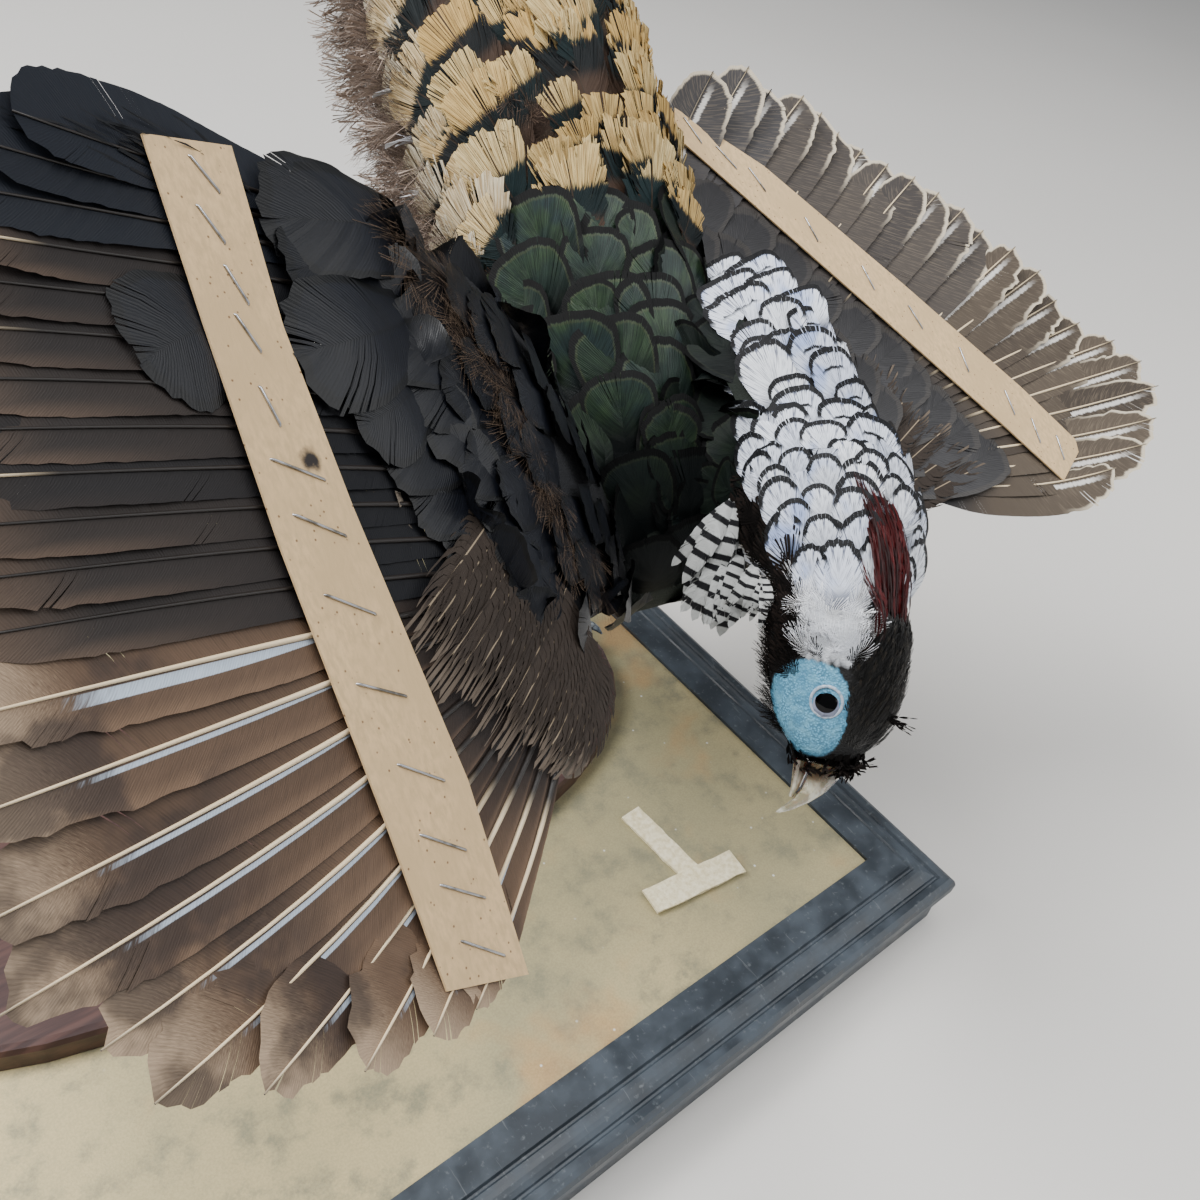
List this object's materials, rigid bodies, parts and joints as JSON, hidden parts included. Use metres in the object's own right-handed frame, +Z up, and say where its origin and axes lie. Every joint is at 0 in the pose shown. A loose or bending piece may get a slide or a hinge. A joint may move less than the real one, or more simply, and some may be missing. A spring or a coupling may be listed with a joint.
{
  "type": "pheasant taxidermy mount",
  "caption": "Male Lady Amherst's pheasant, taxidermy mount with both wings spread and clamped between card strips, on a moulded wooden base with a gold panel",
  "frame": {"origin": "Middle of the base's underside, on the floor.", "axes": "+Z up. The bird looks towards -Y and down, its tail rises towards +Y, and its right wing is on the -X side."},
  "size_m": [0.5977, 0.9987, 0.7791],
  "materials": {
    "lacquer": "black lacquer, dusty, semi-gloss",
    "gold": "board covered with tarnished gold paper",
    "board": "bare plywood",
    "plank": "dark reddish brown varnish",
    "flesh": "feathered skin over a light form",
    "feather": "feather vanes",
    "horn": "translucent yellow-grey horn",
    "eye_glass": "glass eye with a dark pupil",
    "card": "tan card, speckled",
    "leg_scale": "blue-grey scaled leg"
  },
  "bodies": {
    "root": {"base_frame": "lacquer", "base_panel": "gold", "base_bottom": "board", "base_plank": "plank", "trunk": "flesh", "rump": "flesh", "neck": "flesh", "head": "flesh", "cape": "flesh", "crest": "feather", "bill_upper": "horn", "bill_lower": "horn", "eye_R": "eye_glass", "eye_L": "eye_glass", "wing_R_arm": "flesh", "wing_L_arm": "flesh", "wing_R_primaries": "feather", "wing_R_secondaries": "feather", "wing_R_tertials": "feather", "wing_L_primaries": "feather", "wing_L_secondaries": "feather", "wing_L_tertials": "feather", "card_R_top": "card", "card_R_under": "card", "card_L_top": "card", "card_L_under": "card", "tail_centre": "feather", "tail_side_R1": "feather", "tail_side_R2": "feather", "tail_side_R3": "feather", "tail_side_L1": "feather", "tail_side_L2": "feather", "tail_side_L3": "feather", "tail_coverts_upper": "feather", "tail_coverts_under": "feather", "thigh_R": "flesh", "thigh_L": "flesh", "shank_R": "leg_scale", "shank_L": "leg_scale", "foot_R": "leg_scale", "foot_L": "leg_scale"}
  },
  "joints": []
}
